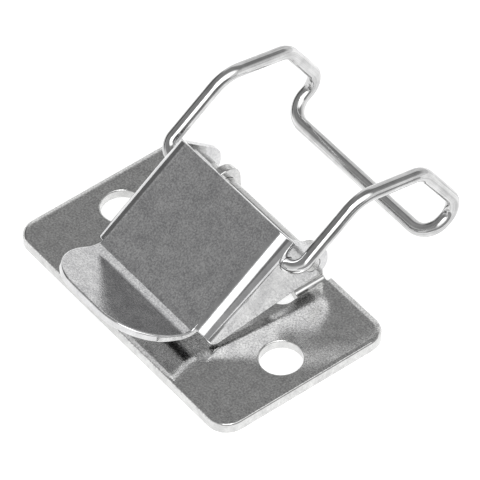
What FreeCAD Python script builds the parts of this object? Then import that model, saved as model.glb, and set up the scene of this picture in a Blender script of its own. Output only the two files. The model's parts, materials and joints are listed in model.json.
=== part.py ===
import FreeCAD, Part
import math
import os

V = FreeCAD.Vector

# Toggle latch, millimetres. X runs along the base plate, Y points to the side where the
# bail hooks its keeper, Z points away from the mounting surface. The origin is the middle
# of the base plate's underside.

# Base plate
plate_length = 66.0
plate_width = 40.0
plate_t = 2.0
plate_corner_r = 4.5
plate_edge_r = 0.45
cut_edge_r = 0.3
screw_spacing = 50.0
screw_hole_d = 8.4

# Ears folded up out of the middle of the plate, to either side of the window
ear_inner_x = 11.7
ear_bend_r = 1.1
ear_top_r = 3.55
window_front_y = 7.6
window_corner_r = 2.4

# Pivot pin
pivot_y = 15.4
pivot_z = 8.85
pivot_d = 3.3
pivot_clearance = 0.1
pin_head_dome = 0.3

# Lever, one bent sheet: web, two cheeks and a finger tab. It has side play on its pin and
# sits with its +X cheek beside the +X ear.
lever_t = 1.5
lever_half_width = 17.5
lever_bend_r = 3.7
web_front_y = -11.6
web_front_z = 5.95
web_tilt_deg = 34.0
web_length = 25.6
tab_rise_deg = 28.0
tab_length = 15.0
tab_half_width = 14.6
tab_corner_r = 10.6
tab_crease_r = 1.0
tab_strip_rise_deg = 8.0
tab_strip_length = 1.9
tab_bend_r = 4.0
cheek_setback = 1.2
cheek_front_corner_r = 2.4
cheek_front_corner_y = -8.6
cheek_front_corner_z = 2.4
cheek_lower_rise_deg = 6.7
lobe_rear_behind_pivot = 3.6
lobe_corner_r = 3.3
lobe_top_drop = 3.6
lobe_corner_above_pivot = 2.03
lobe_root_r = 2.0
cheek_side_gap = 0.1
lever_edge_r = 0.35

# Wire bail. Its pivot is set back from the web's rear edge, and its corners are (Y, Z) steps
# from that pivot.
wire_d = 2.8
wire_clearance = 0.1
bail_hole_from_rear = 4.16
bail_hole_below_web = 5.053
bail_leg_gap = 1.8
bail_hook_flare = 0.8
bail_knee = (15.1, 10.4)
bail_shoulder = (30.2, 7.4)
bail_toe = (38.4, -5.9)
bail_bar = (30.6, -10.6)
bail_end_inside_cheek = 2.4
bail_end_bend_r = 3.1
bail_knee_r = 8.0
bail_shoulder_r = 4.5
bail_toe_r = 4.0
bail_bar_r = 4.5
bail_end_chamfer = 0.3

# Places that follow from the sizes above
ear_outer_x = ear_inner_x + plate_t
ear_fold_x = ear_outer_x + ear_bend_r
lever_middle_x = ear_outer_x + cheek_side_gap - (lever_half_width - lever_t)
pivot_hole_r = pivot_d / 2 + pivot_clearance
wire_r = wire_d / 2
wire_hole_r = wire_r + wire_clearance
web_tilt = math.radians(web_tilt_deg)
tab_rise = math.radians(tab_rise_deg)
strip_rise = math.radians(tab_strip_rise_deg)
web_along = V(0, math.cos(web_tilt), math.sin(web_tilt))
web_up = V(0, -math.sin(web_tilt), math.cos(web_tilt))
web_front = V(0, web_front_y, web_front_z)
tab_along = V(0, -math.cos(tab_rise), math.sin(tab_rise))
tab_up = V(0, math.sin(tab_rise), math.cos(tab_rise))
bail_pivot = web_front + web_along * (web_length - bail_hole_from_rear) - web_up * bail_hole_below_web
bail_half_width = lever_half_width + bail_leg_gap + wire_r
bail_hook_half_width = bail_half_width + bail_hook_flare
REACH = 200.0


def solid_of(shape):
    """The one solid that a boolean result holds."""
    return shape.removeSplitter().Solids[0]


def arc_through(centre, radius, start_deg, end_deg, across, up):
    """Arc of a circle in the plane of two unit directions."""
    def at(deg):
        turn = math.radians(deg)
        return centre + across * (radius * math.cos(turn)) + up * (radius * math.sin(turn))
    return Part.Arc(at(start_deg), at((start_deg + end_deg) / 2), at(end_deg)).toShape()


def rounded_outline(corners):
    """Closed wire through (point, radius) corners, each rounded by its radius."""
    edges = []
    joins = []
    count = len(corners)
    for i, (point, radius) in enumerate(corners):
        before = (corners[i - 1][0] - point).normalize()
        after = (corners[(i + 1) % count][0] - point).normalize()
        if radius == 0:
            joins.append((point, point))
            continue
        half_angle = before.getAngle(after) / 2
        run = radius / math.tan(half_angle)
        centre = point + (before + after).normalize() * (radius / math.sin(half_angle))
        middle = centre + (point - centre).normalize() * radius
        joins.append((point + before * run, point + after * run))
        edges.append(Part.Arc(joins[-1][0], middle, joins[-1][1]).toShape())
    for i in range(count):
        start = joins[i][1]
        end = joins[(i + 1) % count][0]
        edges.append(Part.LineSegment(start, end).toShape())
    return Part.Wire(Part.__sortEdges__(edges))


def side_prism(corners, half_width):
    """Slab with a rounded outline in the YZ plane, as wide as needed both ways along X."""
    face = Part.Face(rounded_outline([(V(-half_width, y, z), r) for y, z, r in corners]))
    return face.extrude(V(2 * half_width, 0, 0))


def edges_on(shape, test):
    """Edges whose every sampled point passes the test."""
    def passes(edge):
        return all(test(point) for point in edge.discretize(5))
    return [edge for edge in shape.Edges if passes(edge)]


def sharp_edges_on(shape, test):
    """Edges between faces that meet at an angle, whose middle point passes the test."""
    def is_sharp(edge, middle):
        normals = []
        for face in shape.ancestorsOfType(edge, Part.Face):
            normals.append(face.normalAt(*face.Surface.parameter(middle)))
        return len(normals) == 2 and normals[0].getAngle(normals[1]) > math.radians(25)

    chosen = []
    for edge in shape.Edges:
        middle = edge.valueAt((edge.FirstParameter + edge.LastParameter) / 2)
        if test(middle) and is_sharp(edge, middle):
            chosen.append(edge)
    return chosen


def cross_hole(radius, y, z):
    """Cutter along X through everything, for a pivot at (y, z)."""
    return Part.makeCylinder(radius, 2 * REACH, V(-REACH, y, z), V(1, 0, 0))


def moved_to_play(shape):
    """The shape at the lever's place along the pin."""
    return shape.translated(V(lever_middle_x, 0, 0))


def make_base_plate():
    """Plate with two screw holes and two ears folded up beside an open window."""
    blank = Part.makeBox(plate_length, plate_width, plate_t,
                         V(-plate_length / 2, -plate_width / 2, 0))
    corners = [edge for edge in blank.Edges if abs(edge.tangentAt(0).z) > 0.9]
    blank = blank.makeFillet(plate_corner_r, corners)
    blank = blank.makeFillet(plate_edge_r, edges_on(blank, lambda p: p.z > plate_t - 0.01))

    window_length = plate_width / 2 - window_front_y
    window = Part.makeBox(2 * ear_fold_x, window_length + 1, 2 * plate_t,
                          V(-ear_fold_x, window_front_y, -plate_t / 2))
    front_corners = edges_on(window, lambda p: p.y < window_front_y + 0.01)
    upright = [edge for edge in front_corners if abs(edge.tangentAt(0).z) > 0.9]
    plate = blank.cut(window.makeFillet(window_corner_r, upright))

    for side in (-1, 1):
        plate = plate.fuse(make_ear(side))
    plate = solid_of(plate.cut(cross_hole(pivot_hole_r, pivot_y, pivot_z)))
    for side in (-1, 1):
        hole = Part.makeCylinder(screw_hole_d / 2, 2 * plate_t,
                                 V(side * screw_spacing / 2, 0, -plate_t / 2))
        plate = plate.cut(hole)

    def is_worn(point):
        on_pin_hole = math.hypot(point.y - pivot_y, point.z - pivot_z) < pivot_hole_r + 0.01
        return point.z > 0.01 and not on_pin_hole

    return solid_of(plate.makeFillet(cut_edge_r, sharp_edges_on(plate, is_worn)))


def make_ear(side):
    """One ear: a strip of plate bent up by a quarter turn, trimmed to its side outline."""
    top = pivot_z + ear_top_r
    outer_x = side * ear_outer_x
    inner_x = side * ear_inner_x
    bend_z = plate_t + ear_bend_r
    centre = V(side * ear_fold_x, 0, bend_z)
    across = V(-side, 0, 0)
    down = V(0, 0, -1)
    foot = V(side * ear_fold_x, 0, 0)
    shoulder = V(side * ear_fold_x, 0, plate_t)
    edges = [
        Part.LineSegment(foot, shoulder).toShape(),
        arc_through(centre, ear_bend_r, 90, 0, across, down),
        Part.LineSegment(V(outer_x, 0, bend_z), V(outer_x, 0, top + 1)).toShape(),
        Part.LineSegment(V(outer_x, 0, top + 1), V(inner_x, 0, top + 1)).toShape(),
        Part.LineSegment(V(inner_x, 0, top + 1), V(inner_x, 0, bend_z)).toShape(),
        arc_through(centre, ear_bend_r + plate_t, 0, 90, across, down),
    ]
    section = Part.Face(Part.Wire(Part.__sortEdges__(edges)))
    strip = section.extrude(V(0, plate_width, 0))
    round_end = cross_hole(ear_top_r, pivot_y, pivot_z)
    below_pivot = Part.makeBox(2 * REACH, 2 * ear_top_r, pivot_z + plate_t,
                               V(-REACH, pivot_y - ear_top_r, -plate_t))
    return strip.common(round_end.fuse(below_pivot))


def make_lever():
    """Web with two cheeks folded down its sides and a finger tab folded up at the front."""
    lever = make_web_and_cheeks().fuse(make_tab())
    lever = lever.cut(cross_hole(pivot_d / 2, pivot_y, pivot_z))
    lever = lever.cut(cross_hole(wire_hole_r, bail_pivot.y, bail_pivot.z))
    return solid_of(moved_to_play(lever))


def make_web_and_cheeks():
    """The folded channel, trimmed to the cheeks' side outline."""
    flat_x = lever_half_width - lever_bend_r
    deep = 40.0

    def at(x, drop):
        return web_front + V(x, 0, 0) + web_up * -drop

    def half_section(side):
        centre = at(side * flat_x, lever_bend_r)
        across = V(side, 0, 0)
        outer = arc_through(centre, lever_bend_r, 90, 0, across, web_up)
        inner = arc_through(centre, lever_bend_r - lever_t, 90, 0, across, web_up)
        cheek_out = side * lever_half_width
        cheek_in = side * (lever_half_width - lever_t)
        return [
            outer,
            inner,
            Part.LineSegment(at(cheek_out, lever_bend_r), at(cheek_out, deep)).toShape(),
            Part.LineSegment(at(cheek_in, lever_bend_r), at(cheek_in, deep)).toShape(),
            Part.LineSegment(at(cheek_out, deep), at(cheek_in, deep)).toShape(),
        ]

    edges = half_section(-1) + half_section(1)
    edges.append(Part.LineSegment(at(-flat_x, 0), at(flat_x, 0)).toShape())
    edges.append(Part.LineSegment(at(-flat_x, lever_t), at(flat_x, lever_t)).toShape())
    section = Part.Face(Part.Wire(Part.__sortEdges__(edges)))
    channel = section.extrude(web_along * 60.0)

    lower_rise = math.tan(math.radians(cheek_lower_rise_deg))
    rear_y = pivot_y + lobe_rear_behind_pivot
    front_top = web_front + web_along * cheek_setback + web_up
    rear_top = web_front + web_along * web_length + web_up
    lobe_start = web_front + web_along * web_length - web_up * lobe_top_drop
    heel_z = cheek_front_corner_z + (rear_y - cheek_front_corner_y) * lower_rise
    outline = side_prism([
        (front_top.y, front_top.z, 0),
        (rear_top.y, rear_top.z, 0),
        (lobe_start.y, lobe_start.z, lobe_root_r),
        (rear_y, pivot_z + lobe_corner_above_pivot, lobe_corner_r),
        (rear_y, heel_z, lobe_corner_r),
        (cheek_front_corner_y, cheek_front_corner_z, cheek_front_corner_r),
    ], REACH)
    channel = channel.common(outline)

    def is_outer(point):
        in_web = point - web_front
        past_flat = max(abs(point.x) - flat_x, 0)
        below_fold = max(lever_bend_r + in_web.dot(web_up), 0)
        on_fold = abs(math.hypot(past_flat, below_fold) - lever_bend_r) < 0.01
        return on_fold or abs(abs(point.x) - lever_half_width) < 0.01

    return channel.makeFillet(lever_edge_r, sharp_edges_on(channel, is_outer))


def make_tab():
    """Strip creased from the web's front edge, then bent up again, and cut to a D in plan."""
    crease_turn = web_tilt + strip_rise
    bend_turn = tab_rise - strip_rise
    strip_up = V(0, math.sin(strip_rise), math.cos(strip_rise))
    per_length = tab_strip_length / math.sin(web_tilt + tab_rise)
    crease = web_front + web_along * per_length * math.sin(bend_turn)
    bend = web_front + tab_along * per_length * math.sin(crease_turn)
    run = (bend - web_front).Length + tab_bend_r * math.tan(bend_turn / 2)
    web_start = web_front + web_along * (cheek_setback + 1.0)
    tip = web_front + tab_along * tab_length

    def under(corner, up_before, up_after):
        both = up_before + up_after
        return corner - both * (lever_t / (1 + up_before.dot(up_after)))

    profile = Part.Face(rounded_outline([
        (web_start, 0),
        (crease, tab_crease_r),
        (bend, tab_bend_r),
        (tip, 0),
        (tip - tab_up * lever_t, 0),
        (under(bend, strip_up, tab_up), tab_bend_r + lever_t),
        (under(crease, web_up, strip_up), tab_crease_r + lever_t),
        (web_start - web_up * lever_t, 0),
    ]))
    profile.translate(V(-tab_half_width, 0, 0))
    strip = profile.extrude(V(2 * tab_half_width, 0, 0))

    def plan(x, along):
        return web_front + V(x, 0, 0) + tab_along * along - tab_up * 20

    outline = rounded_outline([
        (plan(-tab_half_width, -10), 0),
        (plan(-tab_half_width, tab_length), tab_corner_r),
        (plan(tab_half_width, tab_length), tab_corner_r),
        (plan(tab_half_width, -10), 0),
    ])
    tab = strip.common(Part.Face(outline).extrude(tab_up * 40))
    rim = sharp_edges_on(tab, lambda p: (p - web_front).dot(tab_along) > run)
    return tab.makeFillet(lever_edge_r, rim)


def make_pivot_pin():
    """Plain pin through both cheeks and both ears, its ends riveted to low domes."""
    half = lever_half_width
    shank = Part.makeCylinder(pivot_d / 2, 2 * half, V(-half, pivot_y, pivot_z), V(1, 0, 0))
    ends = [edge for edge in shank.Edges if abs(edge.tangentAt(0).x) < 0.1]
    return moved_to_play(shank.makeFillet(pin_head_dome, ends))


def rounded_path(points, radii):
    """Open wire of straight runs joined by tangent arcs at the inner points."""
    edges = []
    start = points[0]
    for i in range(1, len(points) - 1):
        before = (points[i - 1] - points[i]).normalize()
        after = (points[i + 1] - points[i]).normalize()
        radius = radii[i - 1]
        half_angle = before.getAngle(after) / 2
        run = radius / math.tan(half_angle)
        centre = points[i] + (before + after).normalize() * (radius / math.sin(half_angle))
        middle = centre + (points[i] - centre).normalize() * radius
        arc_start = points[i] + before * run
        arc_end = points[i] + after * run
        edges.append(Part.LineSegment(start, arc_start).toShape())
        edges.append(Part.Arc(arc_start, middle, arc_end).toShape())
        start = arc_end
    edges.append(Part.LineSegment(start, points[-1]).toShape())
    return Part.Wire(edges)


def make_wire_bail():
    """One round wire: inturned ends, two cranked legs, and a hooked bar across."""
    end_x = lever_half_width - lever_t - bail_end_inside_cheek

    def leg(side):
        return [
            bail_pivot + V(side * end_x, 0, 0),
            bail_pivot + V(side * bail_half_width, 0, 0),
            bail_pivot + V(side * bail_half_width, *bail_knee),
            bail_pivot + V(side * bail_half_width, *bail_shoulder),
            bail_pivot + V(side * bail_hook_half_width, *bail_toe),
            bail_pivot + V(side * bail_hook_half_width, *bail_bar),
        ]

    leg_radii = [bail_end_bend_r, bail_knee_r, bail_shoulder_r, bail_toe_r, bail_bar_r]
    points = leg(-1) + leg(1)[::-1]
    radii = leg_radii + leg_radii[::-1]
    path = rounded_path(points, radii)
    section = Part.Wire(Part.makeCircle(wire_r, points[0], V(1, 0, 0)))
    bail = path.makePipeShell([section], True, False)
    ends = edges_on(bail, lambda p: abs(abs(p.x) - end_x) < 0.01)
    return solid_of(moved_to_play(bail.makeChamfer(bail_end_chamfer, ends)))


os.makedirs("parts", exist_ok=True)
nodes = {
    "base_plate": make_base_plate(),
    "lever": make_lever(),
    "pivot_pin": make_pivot_pin(),
    "wire_bail": make_wire_bail(),
}
for name, shape in nodes.items():
    shape.exportStep(f"parts/{name}.step")
    box = shape.BoundBox
    print(f"{name}: volume {shape.Volume:.1f} mm3, valid {shape.isValid()}, "
          f"x {box.XMin:.2f}..{box.XMax:.2f}, y {box.YMin:.2f}..{box.YMax:.2f}, "
          f"z {box.ZMin:.2f}..{box.ZMax:.2f}")
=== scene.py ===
# %% [markdown]
# # A toggle latch in stainless steel
# This latch has four pieces: a stamped base plate with two ears, a folded lever with a finger
# tab, a pivot pin, and a bail bent from round wire. The plate, lever and pin are sheet and bar
# whose exact shapes come ready from the CAD model, so here they get their finish. The wire is
# made again in this file, because its shape follows a rule: one round section along one path.
# Every length is in metres, in the CAD model's own frame.

import json
import math

import bpy
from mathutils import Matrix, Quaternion, Vector


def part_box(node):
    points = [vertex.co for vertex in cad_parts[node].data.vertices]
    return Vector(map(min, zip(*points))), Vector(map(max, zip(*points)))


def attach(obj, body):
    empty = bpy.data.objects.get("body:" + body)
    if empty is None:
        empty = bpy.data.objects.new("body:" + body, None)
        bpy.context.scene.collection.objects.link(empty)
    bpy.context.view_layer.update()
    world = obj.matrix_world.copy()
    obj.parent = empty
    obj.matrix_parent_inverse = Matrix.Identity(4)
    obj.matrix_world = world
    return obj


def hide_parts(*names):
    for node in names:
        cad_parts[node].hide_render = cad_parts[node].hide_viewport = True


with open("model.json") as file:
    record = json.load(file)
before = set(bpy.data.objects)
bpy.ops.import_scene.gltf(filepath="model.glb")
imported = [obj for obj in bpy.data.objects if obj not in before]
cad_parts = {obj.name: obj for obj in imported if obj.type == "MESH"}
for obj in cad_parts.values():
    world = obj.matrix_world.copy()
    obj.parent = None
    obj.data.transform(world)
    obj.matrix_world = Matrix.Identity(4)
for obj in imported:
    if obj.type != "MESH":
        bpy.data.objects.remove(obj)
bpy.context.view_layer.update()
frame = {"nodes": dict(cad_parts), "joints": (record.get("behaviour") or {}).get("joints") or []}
MM = 0.001
print("pieces:", ", ".join(sorted(frame["nodes"])))

# %% [markdown]
# ## The camera
# A small metal part is shown best from far away through a long lens, which keeps its parallel
# edges almost parallel. A wide lens close by would make the near corner of the plate look huge.
# The camera is set by where it looks and from which direction, which is easier to change than
# a position. It leans a little to one side, as a camera held by hand does.

# %% Look at the latch from the front right, high up
look_at = Vector((-0.7, 10.1, 6.0)) * MM
turned_deg = 54.13
above_deg = 47.22
lean_deg = -2.2
distance = 1.128
lens_mm = 445
turned, above = math.radians(turned_deg), math.radians(above_deg)
towards_camera = Vector((math.sin(turned) * math.cos(above),
                         -math.cos(turned) * math.cos(above),
                         math.sin(above)))
camera = bpy.data.objects.new("camera", bpy.data.cameras.new("camera"))
bpy.context.scene.collection.objects.link(camera)
camera.location = look_at + towards_camera * distance
camera.rotation_mode = "QUATERNION"
level = towards_camera.to_track_quat("Z", "Y")
camera.rotation_quaternion = level @ Quaternion((0, 0, 1), math.radians(lean_deg))
camera.data.lens = lens_mm
camera.data.clip_end = 20
bpy.context.scene.camera = camera
print("camera at", [round(v, 3) for v in camera.location])

# %% [markdown]
# ## The floor and the light
# Steel has hardly any colour of its own. What we see on it is the room, so the light is most
# of the finish. Polished parts are shot in a white tent with a few grey sides left in it: the
# white makes the bright folds and edges, and the grey makes the flat faces darker than the
# paper they lie on. Here the sky dome is that tent: white low down, grey overhead, and a few
# panels in front of it. A panel is a round patch of sky with its own brightness, set by the
# direction it lies in, how wide it is and how soft its edge is.

# %% Helpers that add nodes and fill in their inputs
def add_node(tree, kind, label=None, settings=None, **inputs):
    """A node of that kind. Inputs are given by name, with _ for a space: a value or a socket."""
    node = tree.nodes.new(kind)
    node.label = label or ""
    for name, value in (settings or {}).items():
        setattr(node, name, value)
    for name, value in inputs.items():
        socket = next(s for s in node.inputs if s.name == name.replace("_", " ") and s.enabled)
        if isinstance(value, bpy.types.NodeSocket):
            tree.links.new(value, socket)
        else:
            socket.default_value = value
    return node


def maths(tree, operation, first, second=None, third=None, clamp=False):
    """The result socket of a Math node on values or sockets."""
    node = tree.nodes.new("ShaderNodeMath")
    node.operation = operation
    node.use_clamp = clamp
    for place, value in enumerate((first, second, third)):
        if isinstance(value, bpy.types.NodeSocket):
            tree.links.new(value, node.inputs[place])
        elif value is not None:
            node.inputs[place].default_value = value
    return node.outputs[0]


def new_shader_group(name, inputs, outputs):
    """An empty node group with number sockets. It comes with its inputs and outputs inside."""
    group = bpy.data.node_groups.new(name, "ShaderNodeTree")
    for title, start in inputs:
        socket = group.interface.new_socket(title, in_out="INPUT", socket_type="NodeSocketFloat")
        socket.default_value = start
    for title in outputs:
        group.interface.new_socket(title, in_out="OUTPUT", socket_type="NodeSocketFloat")
    given = group.nodes.new("NodeGroupInput").outputs
    result = group.nodes.new("NodeGroupOutput").inputs
    return group, given, result


print("helpers:", add_node.__name__, maths.__name__, new_shader_group.__name__)

# %% The sky dome, white low down and grey overhead
low_white = 0.95
high_grey = 0.31
panels = [
    # what it is, direction, where it is full and where it has faded out in degrees, brightness
    ("lit roof on the right", (0.66, -0.12, 0.74), 28, 42, 1.75),
    ("white wall behind on the left", (-0.5, 0.83, 0.25), 26, 34, 0.85),
    ("grey board on the right", (0.97, -0.12, 0.05), 20, 27, 0.22),
    ("grey board on the left", (-0.97, -0.2, 0.2), 20, 30, 0.16),
]
world = bpy.data.worlds.new("tent")
bpy.context.scene.world = world
world.use_nodes = True
tent = world.node_tree
background = tent.nodes["Background"]
background.inputs["Color"].default_value = (1, 1, 1, 1)
sight = add_node(tent, "ShaderNodeTexCoord").outputs["Generated"]
height_seen = add_node(tent, "ShaderNodeSeparateXYZ", Vector=sight).outputs["Z"]
seen = add_node(tent, "ShaderNodeMapRange", "white to grey", {"interpolation_type": "SMOOTHSTEP"},
                Value=height_seen, From_Min=0.22, From_Max=0.66, To_Min=low_white,
                To_Max=high_grey).outputs["Result"]
for title, direction, full_at, gone_at, brightness in panels:
    facing = add_node(tent, "ShaderNodeVectorMath", title, {"operation": "DOT_PRODUCT"})
    tent.links.new(sight, facing.inputs[0])
    facing.inputs[1].default_value = Vector(direction).normalized()
    cover = add_node(tent, "ShaderNodeMapRange", title, {"interpolation_type": "SMOOTHSTEP"},
                     Value=facing.outputs["Value"], From_Min=math.cos(math.radians(gone_at)),
                     From_Max=math.cos(math.radians(full_at))).outputs["Result"]
    seen = add_node(tent, "ShaderNodeMix", title, {"data_type": "FLOAT"}, Factor=cover, A=seen,
                    B=brightness).outputs[0]
tent.links.new(seen, background.inputs["Strength"])
bpy.context.scene.view_settings.view_transform = "Standard"
print("tent with", len(panels), "panels")

# %% The floor, white paper that fills with light
reach = 3.0
below_the_latch = 0.05 * MM
paper_grey = 0.55
paper_glow = 0.72
floor_mesh = bpy.data.meshes.new("paper")
floor_mesh.from_pydata([(-reach, -reach, 0), (reach, -reach, 0), (reach, reach, 0),
                        (-reach, reach, 0)], [], [(0, 1, 2, 3)])
floor = bpy.data.objects.new("paper", floor_mesh)
floor.location.z = -below_the_latch
bpy.context.scene.collection.objects.link(floor)
paper = bpy.data.materials.new("paper")
paper.use_nodes = True
paper_shader = paper.node_tree.nodes["Principled BSDF"]
paper_shader.inputs["Base Color"].default_value = (paper_grey, paper_grey, paper_grey, 1)
paper_shader.inputs["Roughness"].default_value = 0.9
paper_shader.inputs["Specular IOR Level"].default_value = 0.1
paper_shader.inputs["Emission Color"].default_value = (1, 1, 1, 1)
paper_shader.inputs["Emission Strength"].default_value = paper_glow
floor_mesh.materials.append(paper)
print("paper", 2 * reach, "m wide")

# %% [markdown]
# Two things are added close to the latch. A soft box is the key light, and its reflection is
# the hard white line along each fold and each bend of the wire. A low grey flag, which is a
# board that only reflections see, stands on the right, just outside the view. It draws the
# dark band that makes a fold look round and tells it from the white around it.

# %% A soft box and a flag
def soft_box(name, direction, away, size, glow):
    """A square soft light that faces the latch. Glow is how bright its face looks."""
    lamp = bpy.data.lights.new(name, "AREA")
    lamp.shape = "SQUARE"
    lamp.size = size
    lamp.energy = glow * math.pi * size * size
    box = bpy.data.objects.new(name, lamp)
    unit = Vector(direction).normalized()
    box.location = look_at + unit * away
    box.rotation_mode = "QUATERNION"
    box.rotation_quaternion = unit.to_track_quat("Z", "Y")
    box.visible_camera = False
    bpy.context.scene.collection.objects.link(box)
    return box


def grey_flag(name, low, high, grey):
    """An upright board that only reflections see. It stands across X between two corners."""
    mesh = bpy.data.meshes.new(name)
    mesh.from_pydata([(low.x, low.y, low.z), (low.x, high.y, low.z), (low.x, high.y, high.z),
                      (low.x, low.y, high.z)], [], [(0, 1, 2, 3)])
    flag = bpy.data.objects.new(name, mesh)
    for sees in ("visible_camera", "visible_diffuse", "visible_shadow", "visible_transmission"):
        setattr(flag, sees, False)
    bpy.context.scene.collection.objects.link(flag)
    card = bpy.data.materials.new(name)
    card.use_nodes = True
    shader = card.node_tree.nodes["Principled BSDF"]
    shader.inputs["Base Color"].default_value = (0, 0, 0, 1)
    shader.inputs["Specular IOR Level"].default_value = 0.0
    shader.inputs["Emission Color"].default_value = (1, 1, 1, 1)
    shader.inputs["Emission Strength"].default_value = grey
    mesh.materials.append(card)
    return flag


flag_low = Vector((52, -60, 0)) * MM
flag_high = Vector((52, 60, 21)) * MM
flag = grey_flag("flag_right", flag_low, flag_high, grey=0.42)
key = soft_box("key_box", (0.45, -0.35, 0.82), away=0.9, size=0.5, glow=1.9)
print("soft box of", round(key.data.energy, 2), "W, and", flag.name)

# %% [markdown]
# ## The tumbled grain
# Stamped stainless parts are shaken in a drum of small stones to take the burrs off. The
# stones leave thousands of tiny dents, so the sheet is not a mirror: its reflection is soft,
# with a fine salt-and-pepper grain and wider cloudy patches where it rubbed more. All the
# materials share this effect, so it is one node group. It puts out the grain, the clouds and
# a height for a bump, and each material mixes them in its own strength.

# %% The grain as a node group
stones_in_a_grain = 1.6


def tumbled_grain_group():
    sizes = (("Grain Size mm", 0.2), ("Cloud Size mm", 2.5), ("Seed Offset", 0.0))
    group, given, result = new_shader_group("tumbled grain", sizes, ("Grain", "Cloud", "Height"))
    place = add_node(group, "ShaderNodeTexCoord").outputs["Object"]
    moved = add_node(group, "ShaderNodeVectorMath", None, {"operation": "ADD"})
    group.links.new(place, moved.inputs[0])
    group.links.new(given["Seed Offset"], moved.inputs[1])
    spot = moved.outputs["Vector"]
    grain = add_node(group, "ShaderNodeTexNoise", "dents", Vector=spot, Detail=3.0, Roughness=0.65,
                     Scale=maths(group, "DIVIDE", 1 / MM, given["Grain Size mm"]))
    cloud = add_node(group, "ShaderNodeTexNoise", "clouds", Vector=spot, Detail=4.0, Roughness=0.6,
                     Scale=maths(group, "DIVIDE", 1 / MM, given["Cloud Size mm"]))
    stones = add_node(group, "ShaderNodeTexVoronoi", "stones", Vector=spot,
                      Scale=maths(group, "DIVIDE", stones_in_a_grain / MM, given["Grain Size mm"]))
    group.links.new(grain.outputs["Fac"], result["Grain"])
    group.links.new(cloud.outputs["Fac"], result["Cloud"])
    height = maths(group, "MULTIPLY_ADD", stones.outputs["Distance"], 0.5, grain.outputs["Fac"])
    group.links.new(height, result["Height"])
    return group


tumbled_grain = tumbled_grain_group()
print("group:", tumbled_grain.name)

# %% [markdown]
# The stones rub hardest on edges and outward bends, so those come out smooth and bright while
# the flat faces keep their grain. A surface's own normal tells them apart. Every grainy face
# of these pieces looks up or down along the latch, so its normal has no part along X, and the
# cheeks and ears look sideways and keep only a little. Anything between is an edge or a fold.

# %% A group that finds the faces that keep their grain
def grainy_face_group():
    group, given, result = new_shader_group("grainy faces", [("Side Faces", 0.3)], ["Amount"])
    normal = add_node(group, "ShaderNodeTexCoord").outputs["Normal"]
    parts = add_node(group, "ShaderNodeSeparateXYZ", Vector=normal).outputs
    sideways = maths(group, "ABSOLUTE", parts["X"])
    upward = maths(group, "ABSOLUTE", parts["Z"])

    def fade(label, value, gone_at, full_at):
        return add_node(group, "ShaderNodeMapRange", label, {"interpolation_type": "SMOOTHSTEP"},
                        Value=value, From_Min=gone_at, From_Max=full_at).outputs["Result"]

    level = maths(group, "MULTIPLY", fade("not turned to the side", sideways, 0.25, 0.06),
                  fade("looks up or down", upward, 0.6, 0.8))
    beside = maths(group, "MULTIPLY", fade("looks sideways", sideways, 0.95, 0.998),
                   given["Side Faces"])
    group.links.new(maths(group, "MAXIMUM", level, beside), result["Amount"])
    return group


grainy_faces = grainy_face_group()
print("group:", grainy_faces.name)

# %% A steel material that uses both
edge_grain = 0.12
speckle_contrast = 3.2
cloud_contrast = 1.6
cloud_share = 0.7


def tumbled_steel(name, dark, light, rough, rough_swing, grain_mm, cloud_mm, dent_mm, side_grain,
                  seed):
    """Steel between two tones. Its roughness swings about rough, and its dents are dent_mm deep."""
    material = bpy.data.materials.new(name)
    material.use_nodes = True
    tree = material.node_tree
    shader = tree.nodes["Principled BSDF"]
    shader.inputs["Metallic"].default_value = 1.0
    grain = add_node(tree, "ShaderNodeGroup", None, {"node_tree": tumbled_grain},
                     Grain_Size_mm=grain_mm, Cloud_Size_mm=cloud_mm, Seed_Offset=seed)
    faces = add_node(tree, "ShaderNodeGroup", None, {"node_tree": grainy_faces},
                     Side_Faces=side_grain)
    left_over = maths(tree, "MULTIPLY_ADD", faces.outputs["Amount"], 1 - edge_grain, edge_grain)
    speckle = maths(tree, "MULTIPLY", left_over,
                    maths(tree, "MULTIPLY_ADD", grain.outputs["Grain"], speckle_contrast,
                          -speckle_contrast / 2))
    patchy = maths(tree, "MULTIPLY_ADD", grain.outputs["Cloud"], cloud_contrast, -cloud_contrast / 2)
    mixed = maths(tree, "MULTIPLY_ADD", patchy, cloud_share, maths(tree, "ADD", speckle, 0.5),
                  clamp=True)
    tone = add_node(tree, "ShaderNodeMix", "steel tone", {"data_type": "RGBA"},
                    Factor=mixed, A=(*dark, 1), B=(*light, 1))
    tree.links.new(tone.outputs[2], shader.inputs["Base Color"])
    gloss = maths(tree, "MULTIPLY_ADD", maths(tree, "ADD", patchy, speckle), rough_swing, rough)
    tree.links.new(gloss, shader.inputs["Roughness"])
    bump = add_node(tree, "ShaderNodeBump", "dents", Strength=1.0, Distance=dent_mm * MM,
                    Height=maths(tree, "MULTIPLY", grain.outputs["Height"], left_over))
    tree.links.new(bump.outputs["Normal"], shader.inputs["Normal"])
    return material


plate_dent_mm = 0.012
plate_steel = tumbled_steel("plate_steel_tumbled", dark=(0.44, 0.44, 0.44), light=(0.83, 0.83, 0.82),
                            rough=0.12, rough_swing=0.04, grain_mm=0.4, cloud_mm=2.2,
                            dent_mm=plate_dent_mm, side_grain=0.2, seed=0.11)
lever_steel = tumbled_steel("lever_steel_tumbled", dark=(0.44, 0.44, 0.45), light=(0.84, 0.84, 0.84),
                            rough=0.1, rough_swing=0.03, grain_mm=0.36, cloud_mm=3.0,
                            dent_mm=0.01, side_grain=0.2, seed=0.37)
pin_steel = tumbled_steel("pin_steel_bright", dark=(0.55, 0.55, 0.55), light=(0.78, 0.78, 0.77),
                          rough=0.2, rough_swing=0.06, grain_mm=0.2, cloud_mm=1.5,
                          dent_mm=0.01, side_grain=0.5, seed=0.71)
print("steels:", plate_steel.name, lever_steel.name, pin_steel.name)

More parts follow.
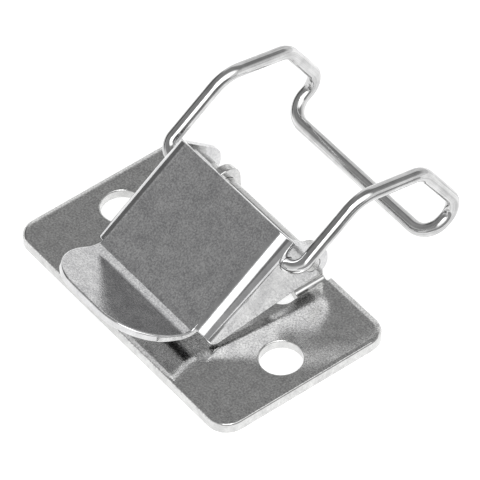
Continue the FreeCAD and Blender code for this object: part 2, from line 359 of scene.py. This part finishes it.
# %% [markdown]
# A press punches the plate out of sheet, and the sheet is dragged down a little before it
# shears. So the rim of the top face rolls over, wider than any sharp edge: it catches the
# white low down on one side and the grey overhead on the other. The roll could be more mesh,
# but the plate's shape belongs to the CAD model, and a roll under half a millimetre deep is
# shown well by a bump. Its height falls off near the outline, which is a rectangle with round
# corners, and the distance to that has a short formula. The ears stand above the sheet, so a
# limit on height leaves them out.

# %% The rolled rim as a node group
def rolled_rim_group():
    sizes = (("Half Length mm", 33.0), ("Half Width mm", 20.0), ("Corner mm", 4.5),
             ("Roll mm", 1.3), ("Top mm", 2.0))
    group, given, result = new_shader_group("rolled rim", sizes, ["Drop"])
    place = add_node(group, "ShaderNodeTexCoord").outputs["Object"]
    where = add_node(group, "ShaderNodeSeparateXYZ", Vector=place).outputs

    def past_centre(axis, half):
        """How far a point is past the centre of the corner's circle along one axis, in mm."""
        out = maths(group, "MULTIPLY", maths(group, "ABSOLUTE", where[axis]), 1 / MM)
        centre = maths(group, "SUBTRACT", given[half], given["Corner mm"])
        return maths(group, "SUBTRACT", out, centre)

    past_x = maths(group, "MAXIMUM", past_centre("X", "Half Length mm"), 0.0)
    past_y = maths(group, "MAXIMUM", past_centre("Y", "Half Width mm"), 0.0)
    from_centre = maths(group, "SQRT", maths(group, "MULTIPLY_ADD", past_x, past_x,
                                             maths(group, "MULTIPLY", past_y, past_y)))
    inside = maths(group, "SUBTRACT", given["Corner mm"], from_centre)
    near = maths(group, "SUBTRACT", 1.0, maths(group, "DIVIDE", inside, given["Roll mm"]), clamp=True)
    in_the_sheet = maths(group, "LESS_THAN", maths(group, "MULTIPLY", where["Z"], 1 / MM),
                         maths(group, "ADD", given["Top mm"], 0.05))
    drop = maths(group, "MULTIPLY", maths(group, "MULTIPLY", near, near), in_the_sheet)
    group.links.new(drop, result["Drop"])
    return group


def roll_the_rim(material, depth_mm, dent_mm):
    """Lowers the height that the material's bump reads, near the plate's outline."""
    tree = material.node_tree
    bump = next(n for n in tree.nodes if n.bl_idname == "ShaderNodeBump")
    dents = bump.inputs["Height"].links[0].from_socket
    rim = add_node(tree, "ShaderNodeGroup", None, {"node_tree": rolled_rim})
    tree.links.new(maths(tree, "MULTIPLY_ADD", rim.outputs["Drop"], -depth_mm / dent_mm, dents),
                   bump.inputs["Height"])


rolled_rim = rolled_rim_group()
roll_the_rim(plate_steel, depth_mm=0.42, dent_mm=plate_dent_mm)
print("group:", rolled_rim.name, "on", plate_steel.name)

# %% Dress the three pieces
wears = {"base_plate": plate_steel, "lever": lever_steel, "pivot_pin": pin_steel}
for node_name, steel in wears.items():
    frame["nodes"][node_name].material_slots[0].material = steel
    print(node_name, "wears", steel.name)

# %% [markdown]
# ## The wire bail
# The bail is one round wire, bent in a jig: the ends turn in and sit in the lever's cheeks,
# two legs rise and reach over, and the hooked end carries the bar that pulls on the keeper.
# It could be a curve object with a bevel, but a curve has one rounding for all its corners,
# and a real bail has a tight bend where the wire turns in and wide ones higher up. So
# Geometry Nodes round each corner by its own radius, then sweep a circle along the path.
# The corner points are the CAD model's own, in millimetres.

# %% The corners of the wire, from one inturned end to the other
wire_diameter = 2.8
inturned_x = 13.6
end_chamfer = 0.3
leg_corners = [
    # half width, then steps along Y and up from the bail's pivot, and the bend's radius
    (20.7, 0.0, 0.0, 3.1),
    (20.7, 15.1, 10.4, 8.0),
    (20.7, 30.2, 7.4, 4.5),
    (21.5, 38.4, -5.9, 4.0),
    (21.5, 30.6, -10.6, 4.5),
]
bail_pivot = next(Vector(j["pos_m"]) for j in frame["joints"] if j["name"] == "bail_pivot")
cad_low, cad_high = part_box("wire_bail")
bail_pivot.x = (cad_low.x + cad_high.x) / 2
full, cut = wire_diameter / 2, wire_diameter / 2 - end_chamfer
corners = []
for side in (-1, 1):
    leg = [(side * inturned_x, 0.0, 0.0, 0.0, cut),
           (side * (inturned_x + end_chamfer), 0.0, 0.0, 0.0, full)]
    leg += [(side * half, y, z, bend, full) for half, y, z, bend in leg_corners]
    corners += leg if side == -1 else leg[::-1]
path_mesh = bpy.data.meshes.new("wire_path")
path_mesh.from_pydata([bail_pivot + Vector((x, y, z)) * MM for x, y, z, _, _ in corners],
                      [(i, i + 1) for i in range(len(corners) - 1)], [])
bend_radius = path_mesh.attributes.new("bend_radius", "FLOAT", "POINT")
bend_radius.data.foreach_set("value", [bend * MM for _, _, _, bend, _ in corners])
thickness = path_mesh.attributes.new("thickness", "FLOAT", "POINT")
thickness.data.foreach_set("value", [radius * MM for _, _, _, _, radius in corners])
path = bpy.data.objects.new("wire_path", path_mesh)
bpy.context.scene.collection.objects.link(path)
print(len(corners), "corner points on the wire's path")

# %% Geometry Nodes that bend and sweep the wire
def bent_wire_tree():
    tree = bpy.data.node_groups.new("bent wire", "GeometryNodeTree")
    ports = tree.interface
    ports.new_socket("Path", in_out="INPUT", socket_type="NodeSocketGeometry")
    ports.new_socket("Steps In A Bend", in_out="INPUT", socket_type="NodeSocketInt").default_value = 12
    ports.new_socket("Sides", in_out="INPUT", socket_type="NodeSocketInt").default_value = 48
    ports.new_socket("Steel", in_out="INPUT", socket_type="NodeSocketMaterial")
    ports.new_socket("Wire", in_out="OUTPUT", socket_type="NodeSocketGeometry")
    given = tree.nodes.new("NodeGroupInput").outputs
    result = tree.nodes.new("NodeGroupOutput").inputs

    def kept(geometry, name, value):
        """The geometry with a value kept on its points, for the material to read."""
        return add_node(tree, "GeometryNodeStoreNamedAttribute", name,
                        {"data_type": "FLOAT", "domain": "POINT"}, Geometry=geometry, Name=name,
                        Value=value).outputs["Geometry"]

    def read(name):
        return add_node(tree, "GeometryNodeInputNamedAttribute", name, {"data_type": "FLOAT"},
                        Name=name).outputs["Attribute"]

    line = add_node(tree, "GeometryNodeMeshToCurve", Mesh=given["Path"]).outputs["Curve"]
    bends = add_node(tree, "GeometryNodeFilletCurve", "one radius for each bend",
                     {"mode": "POLY"}, Curve=line, Count=given["Steps In A Bend"],
                     Radius=read("bend_radius"), Limit_Radius=True).outputs["Curve"]
    travelled = add_node(tree, "GeometryNodeSplineParameter").outputs["Length"]
    along = kept(bends, "along_wire", travelled)
    ring = add_node(tree, "GeometryNodeCurvePrimitiveCircle", Resolution=given["Sides"],
                    Radius=1.0).outputs["Curve"]
    spot = add_node(tree, "ShaderNodeSeparateXYZ",
                    Vector=add_node(tree, "GeometryNodeInputPosition").outputs["Position"])
    ring = kept(kept(ring, "ring_x", spot.outputs["X"]), "ring_y", spot.outputs["Y"])
    swept = add_node(tree, "GeometryNodeCurveToMesh", Curve=along, Profile_Curve=ring,
                     Scale=read("thickness"), Fill_Caps=True).outputs["Mesh"]
    whole = add_node(tree, "GeometryNodeRealizeInstances", Geometry=swept).outputs["Geometry"]
    dressed = add_node(tree, "GeometryNodeSetMaterial", Geometry=whole, Material=given["Steel"])
    tree.links.new(dressed.outputs["Geometry"], result["Wire"])
    return tree


bent_wire = bent_wire_tree()
print("tree:", bent_wire.name, "with", len(bent_wire.nodes), "nodes")

# %% [markdown]
# ## Drawn wire
# Wire is pulled through a round die, which leaves faint lines along its length, and then it
# is polished. So its marks run along the wire and its gloss is higher than the sheet's. The
# sweep kept three values on the surface, the distance along the wire and the place round the
# ring, and they follow every bend, which a plain noise through space would not.

# %% The drawn steel
usual_wear = 0.75
wear_contrast = 2.4
line_depth = 0.008 * MM


def drawn_steel(name, dark, light):
    """Steel with lines along the wire, between two tones. It is brighter where it is worn."""
    material = bpy.data.materials.new(name)
    material.use_nodes = True
    tree = material.node_tree
    shader = tree.nodes["Principled BSDF"]
    shader.inputs["Metallic"].default_value = 1.0

    def kept_value(attribute, stretch):
        fac = add_node(tree, "ShaderNodeAttribute", attribute,
                       {"attribute_name": attribute}).outputs["Fac"]
        return maths(tree, "MULTIPLY", fac, stretch)

    unrolled = add_node(tree, "ShaderNodeCombineXYZ", "unrolled", X=kept_value("ring_x", 1.0),
                        Y=kept_value("ring_y", 1.0), Z=kept_value("along_wire", 14.0))
    lines = add_node(tree, "ShaderNodeTexNoise", "die lines", Vector=unrolled.outputs["Vector"],
                     Scale=3.2, Detail=5.0, Roughness=0.65)
    grain = add_node(tree, "ShaderNodeGroup", None, {"node_tree": tumbled_grain},
                     Grain_Size_mm=0.25, Cloud_Size_mm=3.0)
    worn = maths(tree, "MULTIPLY_ADD", grain.outputs["Cloud"], 0.5, lines.outputs["Fac"])
    tone = add_node(tree, "ShaderNodeMix", "steel tone", {"data_type": "RGBA"},
                    Factor=maths(tree, "MULTIPLY_ADD", worn, wear_contrast,
                                 0.5 - wear_contrast * usual_wear, clamp=True),
                    A=(*dark, 1), B=(*light, 1))
    tree.links.new(tone.outputs[2], shader.inputs["Base Color"])
    tree.links.new(maths(tree, "MULTIPLY_ADD", worn, 0.1, 0.02), shader.inputs["Roughness"])
    height = maths(tree, "MULTIPLY_ADD", grain.outputs["Grain"], 0.35, lines.outputs["Fac"])
    bump = add_node(tree, "ShaderNodeBump", "die lines", Strength=1.0, Distance=line_depth,
                    Height=height)
    tree.links.new(bump.outputs["Normal"], shader.inputs["Normal"])
    return material


wire_steel = drawn_steel("wire_steel_drawn", dark=(0.42, 0.42, 0.42), light=(0.78, 0.78, 0.78))
print("wire wears", wire_steel.name)

# %% Sweep it, and turn the result into a plain mesh
sharp_over_deg = 35
bending = path.modifiers.new("bent wire", "NODES")
bending.node_group = bent_wire
for item in bent_wire.interface.items_tree:
    if item.in_out == "INPUT" and item.name == "Steel":
        bending[item.identifier] = wire_steel
bpy.context.view_layer.update()
evaluated = path.evaluated_get(bpy.context.evaluated_depsgraph_get())
wire_mesh = bpy.data.meshes.new_from_object(evaluated, preserve_all_data_layers=True,
                                            depsgraph=bpy.context.evaluated_depsgraph_get())
wire = bpy.data.objects.new("wire_bail_bent", wire_mesh)
bpy.context.scene.collection.objects.link(wire)
bpy.data.objects.remove(path)
wire_mesh.set_sharp_from_angle(angle=math.radians(sharp_over_deg))
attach(wire, "bail")
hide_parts("wire_bail")
print("wire faces:", len(wire_mesh.polygons), "materials:", [m.name for m in wire_mesh.materials])
